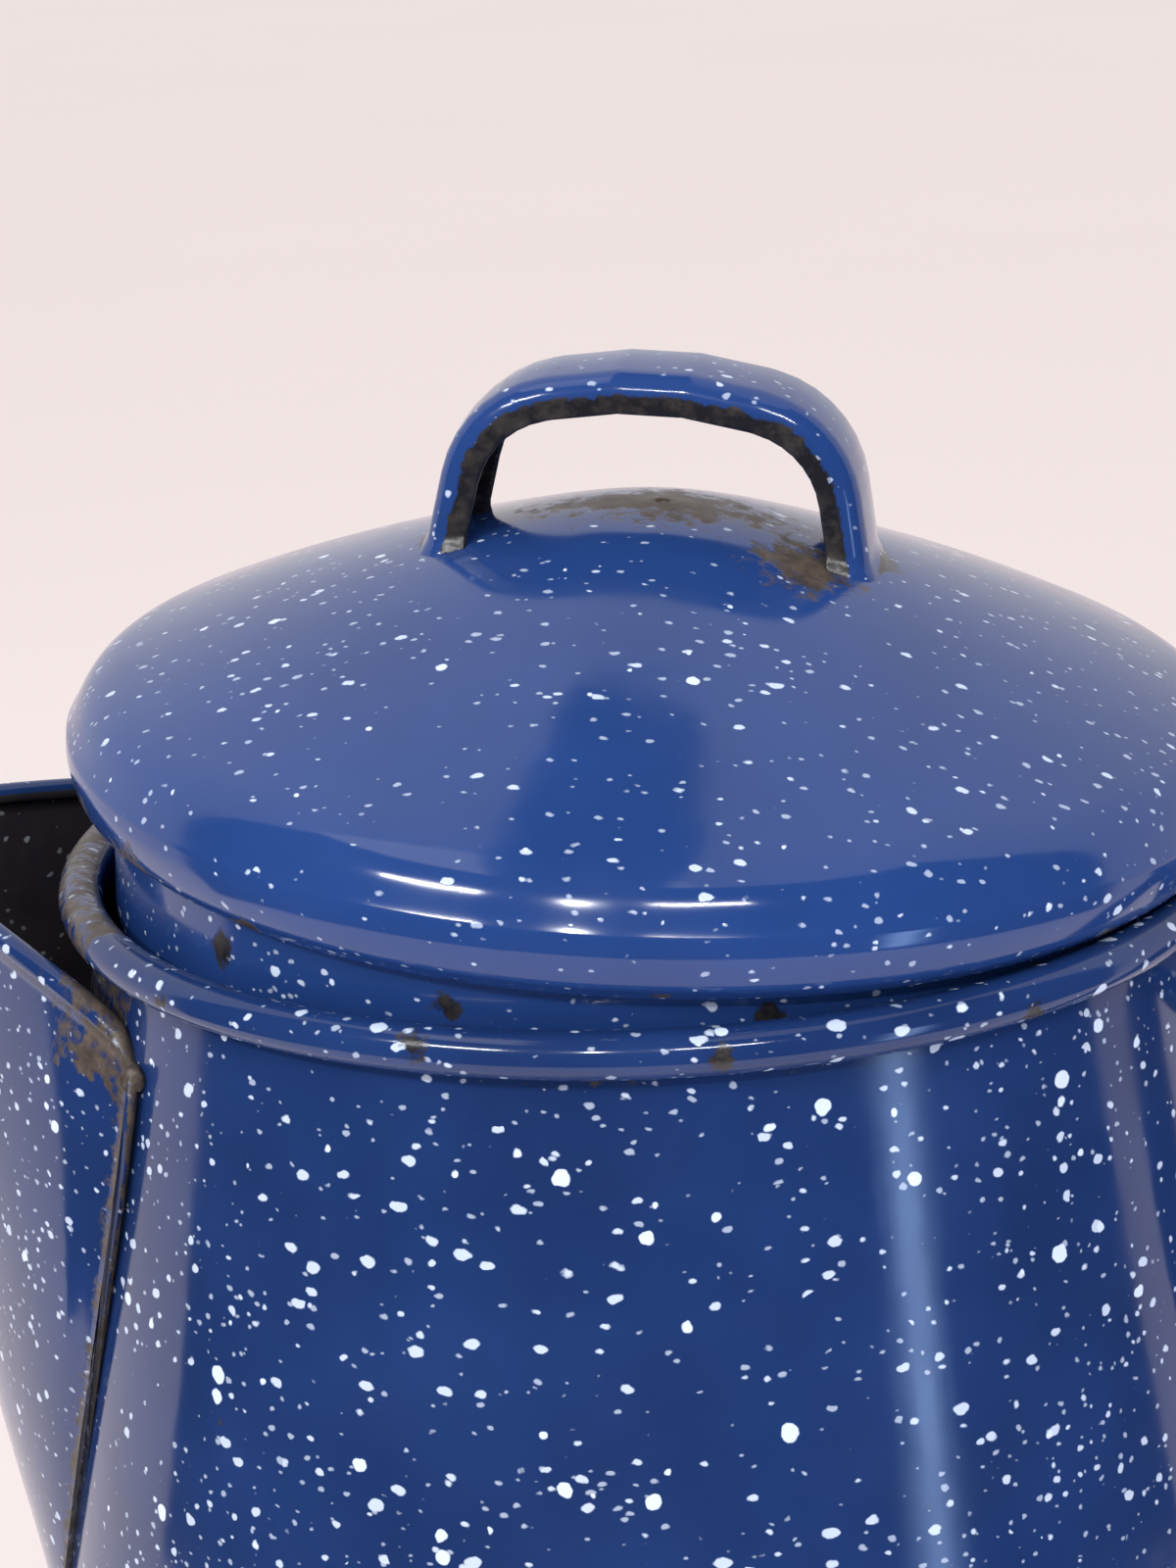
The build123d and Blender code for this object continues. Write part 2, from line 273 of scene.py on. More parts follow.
def make_wall():
    """The cone with its rolled rim, a groove at the seam, and the strainer."""
    low, crease, turn = SEAM_HEIGHT, RIM_HEIGHT - 3.1, RIM_HEIGHT - 4
    outside = [
        Vector((wall_radius(low) - SEAM_GROOVE, low)),
        Vector((wall_radius(low + 0.6), low + 0.6)),
        Vector((wall_radius(crease), crease)),
        Vector((WALL_TOP_RADIUS + 0.25, RIM_HEIGHT - 2.5)),
    ]
    inside = [Vector((wall_radius(turn) - SHEET, turn)), Vector((wall_radius(low) - SHEET, low))]
    outline = divided(outside + rim_bead() + inside, True, 2.5)
    top = max(range(len(outline)), key=lambda i: outline[i].y)
    inner_start = next(i for i in range(top, len(outline)) if outline[i].y < RIM_HEIGHT - 1)
    wall = lathe("wall_shell", outline, slot_of=lambda k: 1 if k >= inner_start else 0)
    cut_strainer(wall)
    return wall


def add_punch(points, faces, angle, z, sides=20):
    """Adds a short rod through the wall at an angle and height, to cut one hole."""
    out = Vector((cos(angle), sin(angle), 0))
    side = Vector((-sin(angle), cos(angle), 0))
    first = len(points)
    second = first + sides
    for reach in (-4, 4):
        centre = out * (wall_radius(z) + reach) + Vector((0, 0, z))
        for k in range(sides):
            turn = 2 * pi * k / sides
            points.append(centre + (side * cos(turn) + Vector((0, 0, sin(turn)))) * STRAINER_HOLE)
    for k in range(sides):
        n = (k + 1) % sides
        faces.append((first + k, first + n, second + n, second + k))
    faces.append(tuple(range(first, second))[::-1])
    faces.append(tuple(range(second, second + sides)))


def cut_strainer(wall):
    """Punches the strainer holes behind the spout."""
    points, faces = [], []
    for row in range(STRAINER_ROWS):
        z = STRAINER_TOP - row * STRAINER_PITCH
        columns = STRAINER_COLUMNS - row % 2
        for column in range(columns):
            aside = (column - (columns - 1) / 2) * STRAINER_PITCH
            add_punch(points, faces, pi + aside / wall_radius(z), z)
    cutter = mesh_object("strainer_cutter", points, faces)
    cut = wall.modifiers.new("strainer", "BOOLEAN")
    cut.object = cutter
    cut.solver = "EXACT"
    keep_result(wall)
    bpy.data.objects.remove(cutter)


def keep_result(piece):
    """Replaces a piece's mesh by what its modifiers make of it."""
    bpy.context.view_layer.update()
    result = piece.evaluated_get(bpy.context.evaluated_depsgraph_get())
    mesh = bpy.data.meshes.new_from_object(result)
    piece.modifiers.clear()
    piece.data = mesh


def make_base():
    """The flat-bottomed pan under the wall."""
    edge = wall_radius(SEAM_HEIGHT)
    outline = rounded([
        (0.5, 0, 0),
        (BASE_FLAT_RADIUS + 4.6, 0, 7.5),
        (edge, SEAM_HEIGHT - 1.4, 0),
        (edge - SEAM_GROOVE, SEAM_HEIGHT, 0),
        (edge - SHEET, SEAM_HEIGHT, 0),
        (BASE_FLAT_RADIUS + 4.2, SHEET, 6.6),
        (0.5, SHEET, 0),
    ], step=3.0)
    inner_start = nearest(outline, edge - SHEET, SEAM_HEIGHT)
    return lathe("base_pan", outline, unevenness=0.05, slot_of=lambda k: 1 if k >= inner_start else 0)


# ---- the spout ----

def nose_radius(z):
    """Distance of the spout's nose from the axis at height z."""
    down = SPOUT_TIP_HEIGHT - z
    tuck = max(0.0, down - SPOUT_TUCK_START)
    return SPOUT_TIP - SPOUT_LEAN * down - SPOUT_TUCK * tuck**2


def spout_half_width(z):
    """Half the spout's width at the wall."""
    share = (SPOUT_JOIN_HEIGHT - z) / (SPOUT_JOIN_HEIGHT - SPOUT_FOOT_HEIGHT)
    return SPOUT_HALF_WIDTH * sqrt(max(0.02, 1 - max(0.0, share)**1.5))


def along_flank(across):
    """How far a point of the spout is from the wall to the nose, 0 to 1: a V with a rounded nose."""
    softness = 0.16
    side = (sqrt(across**2 + softness**2) - softness) / (sqrt(1 + softness**2) - softness)
    return max(0.0, 1 - side)**0.73


def spout_point(across, z):
    """A point outside on the spout's sheet; across runs from -1 at one side to 1 at the other."""
    width = spout_half_width(z)
    y = across * width
    start = sqrt(wall_radius(z)**2 - width**2)
    x = start + along_flank(min(1.0, abs(across))) * (nose_radius(z) - start)
    return x, y


def above_wall(x, y, z, sink=0.55, weld=2.4):
    """Keeps a spout point outside the wall, with a rounded weld where the two meet; the nose is at -X."""
    radius = hypot(x, y)
    lowest = wall_radius(z) - sink
    lift = max(0.0, weld - abs(radius - lowest))
    target = max(radius, lowest) + lift**2 / (4 * weld)
    return Vector((-x * target / radius, y * target / radius, z))


SPOUT_COLUMNS, SPOUT_LEVELS, HEM_STEPS = 150, 64, 14


def spout_section(across):
    """The spout's sheet in section: up the outside, round the hem, and down the inside."""
    s = along_flank(min(1.0, abs(across)))
    top = SPOUT_JOIN_HEIGHT + (SPOUT_TIP_HEIGHT - SPOUT_JOIN_HEIGHT) * sqrt(s)
    ahead, behind = spout_point(across + 0.01, top), spout_point(across - 0.01, top)
    normal = Vector((ahead[1] - behind[1], behind[0] - ahead[0])).normalized()
    if normal.x < 0:
        normal = -normal
    low = SPOUT_FOOT_HEIGHT - 2
    rise = top - 1.0 - SPOUT_FOOT_HEIGHT + 2
    section = []
    for k in range(SPOUT_LEVELS + 1):
        z = low + rise * k / SPOUT_LEVELS
        section.append(above_wall(*spout_point(across, z), z))
    centre = Vector(spout_point(across, top)) - normal * (SPOUT_SHEET / 2)
    for k in range(HEM_STEPS + 1):
        angle = radians(-55 + 290 * k / HEM_STEPS)
        edge = centre + normal * (SPOUT_HEM * cos(angle))
        section.append(above_wall(edge.x, edge.y, top + SPOUT_HEM * sin(angle), weld=0.4))
    for k in range(SPOUT_LEVELS + 1):
        z = top - 1.0 - rise * k / SPOUT_LEVELS
        x, y = spout_point(across, z)
        inside = Vector((x, y)) - normal * SPOUT_SHEET
        section.append(above_wall(inside.x, inside.y, z, sink=0.75, weld=0.4))
    return section


def make_spout():
    """A V-shaped trough, its sections closer together near the nose."""
    sections = []
    for i in range(SPOUT_COLUMNS + 1):
        t = 2 * i / SPOUT_COLUMNS - 1
        sections.append(spout_section(1.07 * (0.75 * t + 0.25 * t**3)))
    inner_start = SPOUT_LEVELS + 12
    slot_of = lambda k: 1 if k >= inner_start else 0
    return loops("spout_shell", sections, closed=False, capped=True, slot_of=slot_of)


# ---- the lid ----

def lid_place():
    """Where the lid's own frame, z = 0 at its lip, lies on the pot."""
    along, across = cos(LID_LEAN_DIRECTION), sin(LID_LEAN_DIRECTION)
    seat = Vector((LID_SLIP * along, LID_SLIP * across, LIP_HEIGHT)) * MM
    return Matrix.Translation(seat) @ Matrix.Rotation(LID_LEAN, 4, Vector((-across, along, 0)))


CROWN = curved(LID_PROFILE)


def crown_height(radius):
    """Height of the lid's outside at a radius."""
    for a, b in zip(CROWN, CROWN[1:]):
        if a.x <= radius <= b.x:
            return a.y + (b.y - a.y) * (radius - a.x) / max(1e-6, b.x - a.x)
    return CROWN[-1].y


def make_dome():
    """The domed sheet, turned under and in to the collar."""
    crown = [p for p in CROWN if p.x > 0.4]
    tuck = curved(LID_TUCK, 5)
    lip = rounded([
        (LIP_EDGE, 0.5, 0),
        (LIP_RADIUS, -0.25, 1.0),
        (COLLAR_RADIUS, 0.1, 0),
        (COLLAR_RADIUS, SHEET, 0),
    ], step=0.5)
    line = crown + tuck[1:] + lip[1:]
    inner = offset(crown + tuck[1:], SHEET)
    inner = [p for p in inner if p.y > SHEET + 0.2]
    outline = line + list(reversed(inner))
    start = len(line)
    return lathe("dome_shell", outline, slot_of=lambda k: 1 if k >= start else 0)


def make_collar():
    """The ring under the lid, its lower edge turned slightly in."""
    outer, inner, deep = COLLAR_RADIUS, COLLAR_RADIUS - SHEET, COLLAR_DEPTH
    outline = rounded([
        (outer, COLLAR_TOP, 0.3),
        (outer, 2.5 - deep, 3),
        (outer - 0.8, -deep, 0.4),
        (inner - 0.8, -deep, 0.4),
        (inner, 2.5 - deep, 3),
        (inner, COLLAR_TOP, 0.3),
    ], closed=True, step=1.2)
    return lathe("collar_ring", outline)


def on_lid(point, core):
    """Ends of the lid strap sink into the dome and spread in a weld."""
    x = point.x + LID_HANDLE_OFFSET
    gap = point.z - crown_height(hypot(x, point.y))
    away = Vector((point.x - core.x, point.y, 0))
    if away.length > 0:
        point = point + away.normalized() * weld_flare(max(0.0, gap))
    x = point.x + LID_HANDLE_OFFSET
    z = max(point.z, crown_height(hypot(x, point.y)) - WELD_SINK)
    return Vector((x, point.y, z))


def on_wall(point, core):
    """Ends of the rear strap sink into the wall and spread in a weld."""
    gap = hypot(point.x, point.y) - wall_radius(point.z)
    away = Vector((0, point.y, point.z - core.z))
    if away.length > 0:
        point = point + away.normalized() * weld_flare(max(0.0, gap))
    radius = hypot(point.x, point.y)
    target = max(radius, wall_radius(point.z) - WELD_SINK)
    return Vector((point.x * target / radius, point.y * target / radius, point.z))


# ---- materials ----

SPECK_EDGE = 0.12              # width of a speck's soft edge
SPECK_COLOUR = (0.62, 0.74, 0.93, 1)
# Browns for rust, and for the painted shade on the wall inside the spout
RUST_AND_SHADE_DARK = (0.026, 0.020, 0.019, 1)
RUST_AND_SHADE_LIGHT = (0.120, 0.093, 0.070, 1)
CHAR_DARK = (0.012, 0.012, 0.016, 1)
CHAR_LIGHT = (0.05, 0.042, 0.038, 1)


def feed(tree, node, inputs):
    """Links or sets a node's inputs."""
    for key, value in inputs.items():
        if isinstance(value, bpy.types.NodeSocket):
            tree.links.new(value, node.inputs[key])
        else:
            node.inputs[key].default_value = value


def add(tree, kind, inputs=None, **settings):
    """A node with its settings; an input is a value or another node's output."""
    made = tree.nodes.new(kind)
    for name, value in settings.items():
        setattr(made, name, value)
    feed(tree, made, inputs or {})
    return made


def maths(tree, operation, a, b=0.0, clamp=False):
    """One arithmetic step on values or outputs."""
    return add(tree, "ShaderNodeMath", {0: a, 1: b}, operation=operation, use_clamp=clamp).outputs[0]


def ramp(tree, value, low, high, start=0.0, end=1.0):
    """Maps low..high to start..end, clamped."""
    inputs = {"Value": value, "From Min": low, "From Max": high, "To Min": start, "To Max": end}
    return add(tree, "ShaderNodeMapRange", inputs).outputs[0]


def blend(tree, factor, a, b):
    """Mixes two colours; a Mix node keeps its colours in sockets 6 and 7."""
    return add(tree, "ShaderNodeMix", {0: factor, 6: a, 7: b}, data_type="RGBA").outputs[2]


def noise_value(tree, coords, size_mm, detail=2.0, rough=0.5):
    """Cloudy noise from 0 to 1 whose features are about size_mm across."""
    inputs = {"Vector": coords, "Scale": 1000 / size_mm, "Detail": detail, "Roughness": rough}
    return add(tree, "ShaderNodeTexNoise", inputs).outputs[0]


def attribute(tree, name):
    """An amount painted on the vertices."""
    return add(tree, "ShaderNodeAttribute", attribute_name=name).outputs["Fac"]


def speck_layer(tree, coords, cell, small, large, share):
    """Round drops thrown at random: cell is their spacing, small and large their radii, in mm."""
    inputs = {"Vector": coords, "Scale": 1000 / cell, "Randomness": 1.0}
    cells = add(tree, "ShaderNodeTexVoronoi", inputs, voronoi_dimensions="3D", feature="F1")
    chance = add(tree, "ShaderNodeSeparateColor", {0: cells.outputs["Color"]})
    size = maths(tree, "POWER", chance.outputs[0], 2.5)
    size = ramp(tree, size, 0.0, 1.0, small / cell, large / cell)
    present = maths(tree, "LESS_THAN", chance.outputs[1], share)
    size = maths(tree, "MULTIPLY", size, present)
    inside = maths(tree, "SUBTRACT", size, cells.outputs["Distance"])
    return maths(tree, "DIVIDE", inside, SPECK_EDGE / cell, clamp=True)


def new_material(name):
    """An empty material with a Principled shader: the material, its tree and the shader."""
    material = bpy.data.materials.new(name)
    material.use_nodes = True
    tree = material.node_tree
    tree.nodes.clear()
    shader = add(tree, "ShaderNodeBsdfPrincipled")
    add(tree, "ShaderNodeOutputMaterial", {"Surface": shader.outputs[0]})
    return material, tree, shader


def thrown_specks(tree, coords, speck_share, speck_size):
    """Where the drops are: three sizes, ragged at the edge and crowded in places."""
    jitter = add(tree, "ShaderNodeTexNoise", {"Vector": coords, "Scale": 1000 / 1.6, "Detail": 2.0})
    inputs = {0: jitter.outputs["Color"], 1: (0.5, 0.5, 0.5)}
    centred = add(tree, "ShaderNodeVectorMath", inputs, operation="SUBTRACT")
    inputs = {0: centred.outputs[0], "Scale": 0.9 * MM}
    push = add(tree, "ShaderNodeVectorMath", inputs, operation="SCALE")
    inputs = {0: coords, 1: push.outputs[0]}
    ragged = add(tree, "ShaderNodeVectorMath", inputs, operation="ADD").outputs[0]
    inputs = {"Vector": ragged, "Rotation": (0.0, radians(-38), 0.0), "Scale": (0.62, 1.0, 1.0)}
    thrown = add(tree, "ShaderNodeMapping", inputs).outputs[0]
    crowd = ramp(tree, noise_value(tree, coords, 26), 0.35, 0.65, 0.55, 1.25)
    share = maths(tree, "MULTIPLY", crowd, 0.46 * speck_share)
    big = speck_layer(tree, ragged, 4.4, 0.42 * speck_size, 1.12 * speck_size, share)
    share = maths(tree, "MULTIPLY", crowd, 0.72 * speck_share)
    middle = speck_layer(tree, thrown, 2.0, 0.30 * speck_size, 0.74 * speck_size, share)
    middle = maths(tree, "MULTIPLY", middle, 0.8)
    share = maths(tree, "MULTIPLY", crowd, 0.5 * speck_share)
    fine = speck_layer(tree, thrown, 1.2, 0.20, 0.42, share)
    fine = maths(tree, "MULTIPLY", fine, 0.5)
    return maths(tree, "MAXIMUM", maths(tree, "MAXIMUM", big, middle), fine)


def enamel(name, colour, deep, speck_share, speck_size, speck_colour=SPECK_COLOUR):
    """Vitreous enamel: a glossy ground with thrown white drops, brown and black where it has worn; the
    brown also carries painted shade on the wall inside the spout.
    """
    material, tree, shader = new_material(name)
    coords = add(tree, "ShaderNodeTexCoord").outputs["Object"]
    specks = thrown_specks(tree, coords, speck_share, speck_size)
    cloud = noise_value(tree, coords, 18, 4.0)
    ground = blend(tree, ramp(tree, cloud, 0.3, 0.7), colour, deep)
    body = blend(tree, specks, ground, speck_colour)
    grit = noise_value(tree, coords, 2.2, 4.0, 0.65)
    edge = maths(tree, "MULTIPLY", maths(tree, "SUBTRACT", grit, 0.5), 1.3)
    # The brown mask is rust, and on the wall inside the spout also painted shade
    brown = ramp(tree, maths(tree, "ADD", attribute(tree, "brown"), edge), 0.42, 0.62)
    brown_tone = ramp(tree, noise_value(tree, coords, 3.0, 5.0, 0.7), 0.3, 0.7)
    body = blend(tree, brown, body, blend(tree, brown_tone, RUST_AND_SHADE_DARK, RUST_AND_SHADE_LIGHT))
    black = ramp(tree, maths(tree, "ADD", attribute(tree, "black"), edge), 0.42, 0.58)
    char = blend(tree, ramp(tree, grit, 0.45, 0.75), CHAR_DARK, CHAR_LIGHT)
    body = blend(tree, black, body, char)
    # The brown counted here as wear includes the painted shade inside the spout
    worn = maths(tree, "MAXIMUM", brown, maths(tree, "MULTIPLY", black, 0.5))
    smear = ramp(tree, noise_value(tree, coords, 14, 3.0), 0.35, 0.75, 0.08, 0.17)
    rough = maths(tree, "ADD", smear, maths(tree, "MULTIPLY", worn, 0.33))
    waves = maths(tree, "MULTIPLY", noise_value(tree, coords, 6.5, 1.0), 0.045)
    height = maths(tree, "ADD", waves, maths(tree, "MULTIPLY", specks, 0.02))
    height = maths(tree, "SUBTRACT", height, maths(tree, "MULTIPLY", worn, 0.09))
    pitted = maths(tree, "MULTIPLY", maths(tree, "MULTIPLY", grit, worn), 0.12)
    height = maths(tree, "ADD", height, pitted)
    bump = add(tree, "ShaderNodeBump", {"Height": height, "Distance": MM, "Strength": 0.9})
    feed(tree, shader, {"Base Color": body, "Roughness": rough, "Normal": bump.outputs[0]})
    shader.inputs["IOR"].default_value = 1.52
    return material


def aluminium(name):
    """Bare, lightly tarnished sheet with fine turning marks round the axis."""
    material, tree, shader = new_material(name)
    coords = add(tree, "ShaderNodeTexCoord").outputs["Object"]
    split = add(tree, "ShaderNodeSeparateXYZ", {0: coords})
    radius = add(tree, "ShaderNodeVectorMath", {0: coords}, operation="LENGTH").outputs["Value"]
    marks = add(tree, "ShaderNodeCombineXYZ", {0: radius, 1: split.outputs[2]}).outputs[0]
    lines = noise_value(tree, marks, 0.5, 3.0)
    tarnish = noise_value(tree, coords, 22, 5.0)
    tint = blend(tree, ramp(tree, tarnish, 0.35, 0.7), (0.80, 0.80, 0.81, 1), (0.55, 0.53, 0.50, 1))
    rough = ramp(tree, lines, 0.3, 0.7, 0.24, 0.42)
    bump = add(tree, "ShaderNodeBump", {"Height": lines, "Distance": 0.03 * MM, "Strength": 0.6})
    feed(tree, shader, {"Base Color": tint, "Roughness": rough, "Normal": bump.outputs[0]})
    shader.inputs["Metallic"].default_value = 1.0
    return material


def plaster(name, colour):
    """Matt paint, slightly uneven."""
    material, tree, shader = new_material(name)
    coords = add(tree, "ShaderNodeTexCoord").outputs["Object"]
    shade = noise_value(tree, coords, 400, 3.0)
    darker = tuple(c * 0.97 for c in colour[:3]) + (1,)
    feed(tree, shader, {"Base Color": blend(tree, shade, colour, darker)})
    shader.inputs["Roughness"].default_value = 0.9
    return material


# ---- wear, as amounts at the vertices ----

def spot(point, centre, radius):
    """1 at a centre, 0 at a radius from it."""
    return max(0.0, 1 - (Vector(point) - Vector(centre)).length / radius)


def spots(point, places):
    """The strongest of several spots, each (x, y, z, radius)."""
    return max(spot(point, (x, y, z), radius) for x, y, z, radius in places)


def on_cone(azimuth, z, radius):
    """A worn place on the wall; azimuth 0 is -Y and turns towards +X."""
    a = radians(azimuth)
    return (wall_radius(z) * sin(a), -wall_radius(z) * cos(a), z, radius)


def on_bead(azimuth, radius, up=0.0):
    """A worn place on the rim's outside."""
    a = radians(azimuth)
    return ((RIM_RADIUS + 2) * sin(a), -(RIM_RADIUS + 2) * cos(a), RIM_HEIGHT + up, radius)


WALL_CHIPS = [
    on_bead(-40, 2.6),
    on_bead(-12, 3.2, 1),
    on_bead(14, 2.6),
    on_bead(43, 3.0, -1),
    on_bead(71, 3.0),
    on_cone(-35, 120, 1.8),
    on_cone(38, 100, 1.6),
    on_cone(61, 137, 2.0),
]
COLLAR_CHIPS = [
    (-44, -43, 2, 6),
    (-38, -48, -5, 4),
    (-12, -60, -4, 3.0),
    (20, -58, -3, 3.5),
    (45, -42, -5, 5),
]
LIP_CHIPS = [(-50, -43, 1, 7.5), (-58, -30, 2, 7), (-34, -55, 0, 4.5), (10, -64, 0, 3), (52, -38, 0, 4)]


def wall_brown(point):
    """A rusty line where the wall runs under the rim's roll, and a brown patch inside the spout that is
    partly a stain and partly painted shade.
    """
    x, y, z = point
    outside = hypot(x, y) > RIM_RADIUS - 2
    under = max(0.0, 1 - abs(z - (RIM_HEIGHT - 2.6)) / 1.3) if outside else 0.0
    under *= 0.55 + 0.45 * noise.noise(Vector((x, y, z)) / 9)
    behind = x < 0 and outside and z > SPOUT_FOOT_HEIGHT + 3
    # Painted shade: the wall inside the spout is browned, partly as a stain and partly standing in for the
    # shade there.
    stain_and_shade_in_spout = 0.56 if behind and abs(y) < spout_half_width(z) - 2 else 0.0
    return max(under, stain_and_shade_in_spout, spots(point, WALL_CHIPS) * 0.75)


def wall_black(point):
    """Chips through to the iron."""
    return spots(point, WALL_CHIPS) * 0.9


def spout_brown(point):
    """Rust along the crease with the wall and on the hem near it."""
    x, y, z = point
    gap = hypot(x, y) - wall_radius(z)
    crease = max(0.0, 1 - gap / 2.2)
    hem = max(0.0, 1 - gap / 11) if z > SPOUT_JOIN_HEIGHT - 2 else 0.0
    return max(crease * 0.85, min(1.0, hem * 1.3) * 0.66)


def spout_black(point):
    """A dark line in the crease itself."""
    gap = hypot(point[0], point[1]) - wall_radius(point[2])
    return max(0.0, 1 - gap / 1.1) * 0.8


def dome_brown(point):
    """A scorched band under the strap, and rust on the lip on the spout's side."""
    x, y, _ = point
    across = abs(y) / 13 if y < 0 else abs(y) / 16
    band = max(0.0, 1 - across) * max(0.0, 1 - abs(x) / 31) * 1.5
    foot = spot(point, (17, -9, crown_height(19)), 12) * 0.9
    return min(0.9, max(band * 0.62, foot, spots(point, LIP_CHIPS) * 0.85))


def dome_black(point):
    """Burnt enamel at the strap's feet, and chips on the lip."""
    feet = [(-26, 0, crown_height(26), 6), (24, 0, crown_height(24), 7)]
    return max(spots(point, feet) * 0.75, spots(point, LIP_CHIPS) * 0.6)


def collar_black(point):
    """A worn lower edge, and chips."""
    low = max(0.0, 1 - abs(point[2] + COLLAR_DEPTH) / 2.0) * 0.6
    return max(low, spots(point, COLLAR_CHIPS) * 0.95)


def strap_wear(path, width):
    """The turned-down edges and the underside are worn to black, the top is not."""
    line = rounded(path, step=0.5)

    def amount(point):
        """0 on the strap's top, 1 well below it."""
        x, y, z = point
        depth = min((Vector((x, z)) - p).length for p in line)
        bare = 0.9 if abs(y) < width / 2 - 2.6 else 2.1
        return max(0.0, min(1.0, 0.5 + 0.55 * (depth - bare)))

    return amount


# ---- putting the pieces in place ----

POT_BLUE = (0.0120, 0.037, 0.145, 1)
POT_DEEP = (0.0085, 0.027, 0.108, 1)
LID_BLUE = (0.0165, 0.052, 0.205, 1)
LID_DEEP = (0.0135, 0.044, 0.175, 1)
INSIDE_BROWN = (0.048, 0.040, 0.042, 1)
INSIDE_DEEP = (0.020, 0.018, 0.024, 1)
INSIDE_SPECK = (0.30, 0.32, 0.36, 1)
enamel_pot = enamel("enamel_pot", POT_BLUE, POT_DEEP, 1.0, 1.0)
enamel_lid = enamel("enamel_lid", LID_BLUE, LID_DEEP, 0.80, 0.74)
enamel_inside = enamel("enamel_inside", INSIDE_BROWN, INSIDE_DEEP, 0.3, 0.9, INSIDE_SPECK)
bare_metal = aluminium("aluminium")


def place(piece, body, node, slot, *materials):
    """Gives a piece its materials and its body, and hides the CAD node it stands for."""
    for material in materials:
        piece.data.materials.append(material)
    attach(piece, body)
    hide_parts(node)


wall = make_wall()
base = make_base()
spout = make_spout()
rear_strap = sweep_strap("rear_strap", REAR_HANDLE_PATH, REAR_HANDLE_WIDTH, on_wall)
dome = make_dome()
collar = make_collar()
lid_strap = sweep_strap("lid_strap", LID_HANDLE_PATH, LID_HANDLE_WIDTH, on_lid)
for piece in (dome, collar, lid_strap):
    piece.matrix_world = lid_place()

shifted = [(x + LID_HANDLE_OFFSET, z, radius) for x, z, radius in LID_HANDLE_PATH]
for piece, colour, amount in (
    (wall, "brown", wall_brown),
    (wall, "black", wall_black),
    (spout, "brown", spout_brown),
    (spout, "black", spout_black),
    (dome, "brown", dome_brown),
    (dome, "black", dome_black),
    (collar, "black", collar_black),
    (rear_strap, "black", strap_wear(REAR_HANDLE_PATH, REAR_HANDLE_WIDTH)),
    (lid_strap, "black", strap_wear(shifted, LID_HANDLE_WIDTH)),
):
    paint(piece, colour, amount)

place(wall, "pot", "pot_wall", "enamel_pot", enamel_pot, enamel_inside)
place(base, "pot", "pot_base", "enamel_pot", enamel_pot, enamel_inside)
place(spout, "pot", "spout", "enamel_pot", enamel_pot, enamel_inside)
place(rear_strap, "pot", "rear_handle", "enamel_pot", enamel_pot)
place(dome, "lid", "lid_dome", "enamel_lid", enamel_lid, enamel_inside)
place(collar, "lid", "lid_collar", "enamel_lid", enamel_lid)
place(lid_strap, "lid", "lid_handle", "enamel_lid", enamel_lid)

for body in ("pump", "basket", "spreader"):
    for node in frame["record"]["behaviour"]["bodies"][body]:
        cad = frame["nodes"][node]
        cad.data.materials.clear()
        cad.data.materials.append(bare_metal)


# ---- room, lights and camera ----

FLOOR_REACH = 9000
FLOOR_COLOUR = (0.875, 0.805, 0.805, 1)
ROOM_COLOUR = (1.0, 0.955, 0.95, 1)
SUN_COLOUR = (1.0, 0.97, 0.95)
BLUE_LAMP = (0.42, 0.62, 1.0)
POT_MIDDLE = (0, 0, 0.088)
LID_MIDDLE = (0, 0, 0.17)
CAMERA_AZIMUTH = 10.0
CAMERA_ELEVATION = 17.22
CAMERA_ROLL = -2.97


def panel(name, width, height, location, aim, power, colour=(1, 1, 1)):
    """A soft rectangular light that the camera does not see."""
    lamp = bpy.data.lights.new(name, "AREA")
    lamp.shape = "RECTANGLE"
    lamp.size = width
    lamp.size_y = height
    lamp.energy = power
    lamp.color = colour
    light = bpy.data.objects.new(name, lamp)
    light.location = location
    light.rotation_euler = (Vector(aim) - Vector(location)).to_track_quat("-Z", "Y").to_euler()
    light.visible_camera = False
    bpy.context.scene.collection.objects.link(light)


def around(azimuth, elevation, distance, height=LID_MIDDLE[2]):
    """A place round the pot: azimuth 0 is in front, -Y, and turns towards +X."""
    a, e = radians(azimuth), radians(elevation)
    return (distance * sin(a) * cos(e), -distance * cos(a) * cos(e), height + distance * sin(e))


def make_room():
    """A pale floor without an edge, under an even white light."""
    world = bpy.data.worlds.new("room")
    world.use_nodes = True
    background = world.node_tree.nodes["Background"]
    background.inputs["Color"].default_value = ROOM_COLOUR
    background.inputs["Strength"].default_value = 0.82
    bpy.context.scene.world = world
    far = FLOOR_REACH
    corners = [(-far, -far, 0), (far, -far, 0), (far, far, 0), (-far, far, 0)]
    floor = mesh_object("floor", corners, [(0, 1, 2, 3)])
    floor.data.materials.append(plaster("floor_paint", FLOOR_COLOUR))


# The dark screen in section, (distance from the axis, height), and the azimuths where it starts and ends
SCREEN_SECTION = [(300, 2), (1100, 3), (1100, 900), (700, 1300)]
SCREEN_START = -87
SCREEN_END = 98
SCREEN_PANELS = 42
SCREEN_ROOF = [(-330, -760, 1300), (250, -760, 1300), (90, 600, 1300), (-150, 640, 1300)]


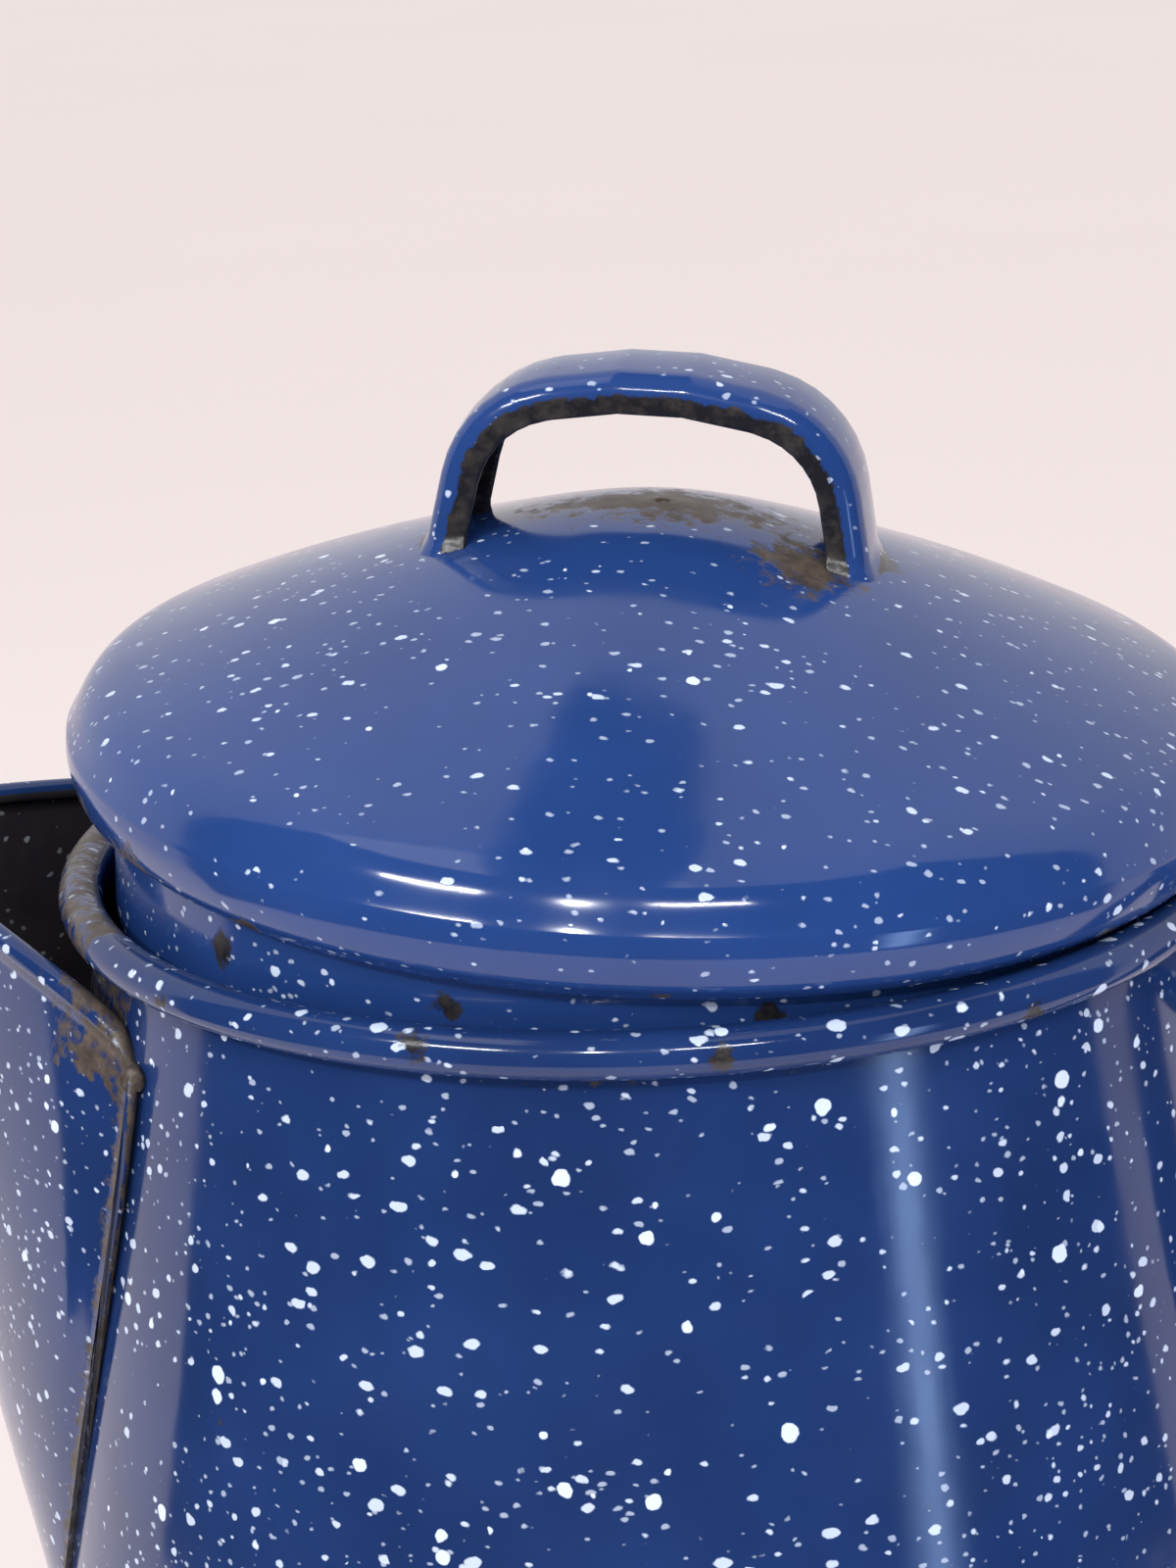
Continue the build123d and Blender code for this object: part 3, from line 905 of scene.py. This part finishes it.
def make_screen():
    """A dark cloth in front and overhead that only reflections see, to keep the gloss from milking over."""
    points, faces = [], []
    for i in range(SCREEN_PANELS + 1):
        a = radians(SCREEN_START + (SCREEN_END - SCREEN_START) * i / SCREEN_PANELS)
        points += [(radius * sin(a), -radius * cos(a), z) for radius, z in SCREEN_SECTION]
    for i in range(SCREEN_PANELS):
        for k in range(3):
            b = 4 * i + k
            faces.append((b, b + 4, b + 5, b + 1))
    roof = len(points)
    points += SCREEN_ROOF
    faces.append((roof, roof + 1, roof + 2, roof + 3))
    screen = mesh_object("dark_screen", points, faces)
    cloth, _, shader = new_material("screen_cloth")
    shader.inputs["Base Color"].default_value = (0.01, 0.012, 0.018, 1)
    shader.inputs["Roughness"].default_value = 1.0
    screen.data.materials.append(cloth)
    for ray in ("camera", "diffuse", "transmission", "volume_scatter", "shadow"):
        setattr(screen, "visible_" + ray, False)


def light_pot():
    """Long narrow lamps over the lid, a tall blue one beside the body, and a wide sky."""
    panel("lamp_left", 0.24, 0.035, around(-32, 33, 0.8), LID_MIDDLE, 1.9)
    panel("lamp_right", 0.20, 0.022, around(20, 33, 0.8), LID_MIDDLE, 1.2)
    panel("lamp_middle", 0.03, 0.03, around(-3, 32, 0.8), LID_MIDDLE, 0.8)
    panel("tall_lamp", 0.022, 0.165, (0.263, -0.225, 0.088), POT_MIDDLE, 0.038, BLUE_LAMP)
    panel("tall_lamp_glow", 0.040, 0.165, (0.266, -0.228, 0.088), POT_MIDDLE, 0.045, BLUE_LAMP)
    panel("tall_lamp_edge", 0.066, 0.165, (0.269, -0.231, 0.088), POT_MIDDLE, 0.040, BLUE_LAMP)
    sun = bpy.data.lights.new("sky_window", "SUN")
    sun.energy = 0.62
    sun.angle = radians(60)
    sun.color = SUN_COLOUR
    sky_window = bpy.data.objects.new("sky_window", sun)
    towards_pot = -Vector(around(-35, 58, 1, 0))
    sky_window.rotation_euler = towards_pot.to_track_quat("-Z", "Y").to_euler()
    bpy.context.scene.collection.objects.link(sky_window)


def place_camera():
    """Close in front and a little to the right, looking down on the lid."""
    camera = bpy.data.objects.new("camera", bpy.data.cameras.new("camera"))
    camera.data.sensor_width = 36.0
    camera.data.lens = 78.75
    camera.data.clip_start = 0.01
    camera.location = (0.05876, -0.37223, RIM_HEIGHT * MM + 0.12437)
    a, e = radians(CAMERA_AZIMUTH), radians(CAMERA_ELEVATION)
    gaze = Vector((-sin(a) * cos(e), cos(a) * cos(e), -sin(e)))
    level = gaze.to_track_quat("-Z", "Y").to_matrix()
    camera.rotation_euler = (level @ Matrix.Rotation(radians(CAMERA_ROLL), 3, "Z")).to_euler()
    bpy.context.scene.collection.objects.link(camera)
    bpy.context.scene.camera = camera


bpy.context.scene.view_settings.view_transform = "Standard"
make_room()
make_screen()
light_pot()
place_camera()
